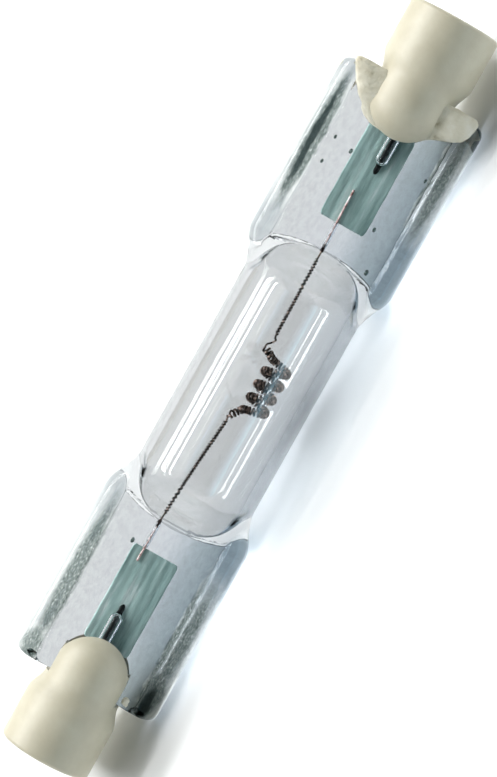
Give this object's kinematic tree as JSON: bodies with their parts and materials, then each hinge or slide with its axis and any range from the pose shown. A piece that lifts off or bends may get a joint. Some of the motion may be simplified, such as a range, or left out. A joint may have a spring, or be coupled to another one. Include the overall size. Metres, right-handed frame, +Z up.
{
  "type": "linear halogen bulb",
  "caption": "Short double-ended quartz halogen lamp: clear tube with a coiled filament, flat pinch seals with foil feedthroughs, and round ceramic caps with recessed contacts.",
  "frame": {"origin": "middle of the lamp's own axis, halfway between the two contacts", "axes": "+X runs along the lamp from the left cap to the right cap; +Z is up with the lamp lying at rest on its exhaust tip and on the lower edge of both pinch seals, so the seals' front face leans 48 degrees from vertical towards -Y"},
  "size_m": [0.0782, 0.012, 0.0128],
  "materials": {
    "quartz": "clear fire-polished quartz",
    "tungsten": "dark drawn tungsten wire",
    "foil": "thin grey-green molybdenum foil with lengthwise creases",
    "lead": "bright drawn molybdenum rod",
    "ceramic": "unglazed ivory steatite, satin",
    "cement": "dull off-white cement",
    "contact": "nickel-plated, bright"
  },
  "bodies": {
    "root": {"quartz_bulb": "quartz", "filament": "tungsten", "leg_spiral_left": "tungsten", "leg_spiral_right": "tungsten", "foil_left": "foil", "foil_right": "foil", "outer_lead_left": "lead", "outer_lead_right": "lead", "ceramic_cap_left": "ceramic", "ceramic_cap_right": "ceramic", "cement_left": "cement", "cement_right": "cement", "contact_left": "contact", "contact_right": "contact"}
  },
  "joints": []
}
